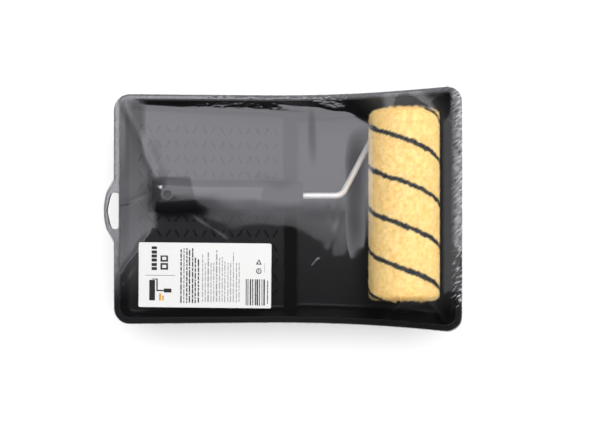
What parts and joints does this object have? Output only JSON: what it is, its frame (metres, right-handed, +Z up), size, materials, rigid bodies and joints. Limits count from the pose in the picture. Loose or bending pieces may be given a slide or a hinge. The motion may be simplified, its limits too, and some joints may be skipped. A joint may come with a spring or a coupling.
{
  "type": "paint roller tray",
  "caption": "Ribbed black paint tray holding a cage-less wire-frame roller with a striped plush sleeve, shrink-wrapped in clear film with a label.",
  "frame": {"origin": "on the ground, under the middle of the wrapped set's bounding box", "axes": "+X from the hanging end of the tray to its paint well, +Y across the tray towards the end of the sleeve that the wire enters, +Z up"},
  "size_m": [0.3396, 0.232, 0.0804],
  "materials": {
    "tray_plastic": "semi-matt black moulded polypropylene",
    "handle_gloss": "glossy black moulded plastic",
    "handle_soft": "matt soft plastic inlay",
    "wire_chrome": "bright plated wire",
    "zinc_steel": "zinc plated",
    "cap_plastic": "plain moulded plastic",
    "core_plastic": "plain extruded plastic tube",
    "pile": "long plush pile with dark spiral yarns",
    "film": "clear glossy shrink film",
    "label_paper": null
  },
  "bodies": {
    "tray": {"tray": "tray_plastic"},
    "roller": {"handle_body": "handle_gloss", "handle_inlay": "handle_soft", "wire_frame": "wire_chrome", "stop_collar": "zinc_steel", "stop_washer": "zinc_steel", "end_washer": "zinc_steel", "push_cap": "cap_plastic"},
    "sleeve": {"sleeve_core": "core_plastic", "sleeve_pile": "pile", "cap_near": "cap_plastic", "cap_far": "cap_plastic"},
    "wrap": {"shrink_film": "film", "label": "label_paper"}
  },
  "joints": [
    {"name": "roller_lift", "type": "slide", "parent": "tray", "child": "roller", "axis": [0, 0, 1], "range_m": [0, 0.1]},
    {"name": "sleeve_spin", "type": "hinge", "parent": "roller", "child": "sleeve", "pos_m": [0.1165, 0, 0.045], "axis": [0, 1, 0], "continuous": true},
    {"name": "wrap_lift", "type": "slide", "parent": "tray", "child": "wrap", "axis": [0, 0, 1], "range_m": [0, 0.24]}
  ],
  "couplings": [
    {"joint": "wrap_lift", "follows": "roller_lift", "ratio": 2.4}
  ]
}
